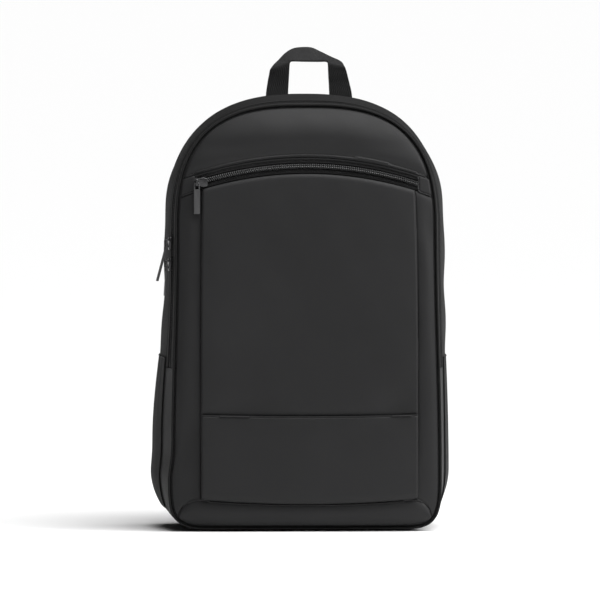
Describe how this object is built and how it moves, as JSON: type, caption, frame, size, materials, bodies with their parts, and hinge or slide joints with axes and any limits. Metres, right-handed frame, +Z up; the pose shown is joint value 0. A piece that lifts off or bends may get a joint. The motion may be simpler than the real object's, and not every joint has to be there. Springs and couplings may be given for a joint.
{
  "type": "laptop backpack",
  "caption": "Black laptop backpack with a zipped box pocket, arched main zip, webbing top handle and padded shoulder straps, standing on its base.",
  "frame": {"origin": "centre of the bounding box at floor level, under the middle of the backpack", "axes": "+X to the viewer's right when facing the front, -Y out of the front, +Z up"},
  "size_m": [0.297, 0.1802, 0.4813],
  "materials": {
    "coated_fabric": "satin",
    "nylon_cloth": "matte",
    "padded_cloth": "matte",
    "piping": "satin",
    "zip_tape": "matte",
    "zip_coil": "satin",
    "webbing": "matte",
    "buckle_plastic": "matte",
    "dark_metal": "satin",
    "pull_enamel": "matte"
  },
  "bodies": {
    "bag": {"base_wrap": "coated_fabric", "lower_gusset": "coated_fabric", "pocket_front_panel": "coated_fabric", "pocket_zip_end_left": "coated_fabric", "pocket_zip_end_right": "coated_fabric", "side_panel_left": "coated_fabric", "side_panel_right": "coated_fabric", "slip_pocket_panel": "coated_fabric", "yoke_panel": "coated_fabric", "rear_gusset": "nylon_cloth", "base_panel": "nylon_cloth", "side_pocket_left": "nylon_cloth", "side_pocket_right": "nylon_cloth", "back_panel": "padded_cloth", "shoulder_strap_left": "padded_cloth", "shoulder_strap_right": "padded_cloth", "front_piping": "piping", "rear_piping": "piping", "pocket_zip_tape_upper": "zip_tape", "pocket_zip_tape_lower": "zip_tape", "main_zip_tape_front": "zip_tape", "main_zip_tape_rear": "zip_tape", "pocket_zip_coil": "zip_coil", "main_zip_coil": "zip_coil", "top_handle": "webbing", "strap_web_left": "webbing", "strap_web_right": "webbing", "strap_anchor_left": "webbing", "strap_anchor_right": "webbing", "side_pocket_binding_left": "webbing", "side_pocket_binding_right": "webbing", "ladder_lock_left": "buckle_plastic", "ladder_lock_right": "buckle_plastic", "pocket_slider": "dark_metal", "main_upper_slider": "dark_metal", "main_lower_slider": "dark_metal"},
    "pocket_pull": {"pocket_pull": "pull_enamel"},
    "main_upper_pull": {"main_upper_pull": "pull_enamel"},
    "main_lower_pull": {"main_lower_pull": "pull_enamel"}
  },
  "joints": [
    {"name": "pocket_pull_hinge", "type": "hinge", "parent": "bag", "child": "pocket_pull", "pos_m": [-0.10489, -0.07395, 0.34885], "axis": [-1, 0, 0], "range_deg": [0, 100]},
    {"name": "main_upper_pull_hinge", "type": "hinge", "parent": "bag", "child": "main_upper_pull", "pos_m": [-0.13445, -0.05528, 0.28718], "axis": [-0.1802, 0.9817, -0.0619], "range_deg": [0, 95]},
    {"name": "main_lower_pull_hinge", "type": "hinge", "parent": "bag", "child": "main_lower_pull", "pos_m": [-0.13461, -0.0565, 0.2662], "axis": [-0.177, 0.9828, -0.0521], "range_deg": [0, 20]}
  ]
}
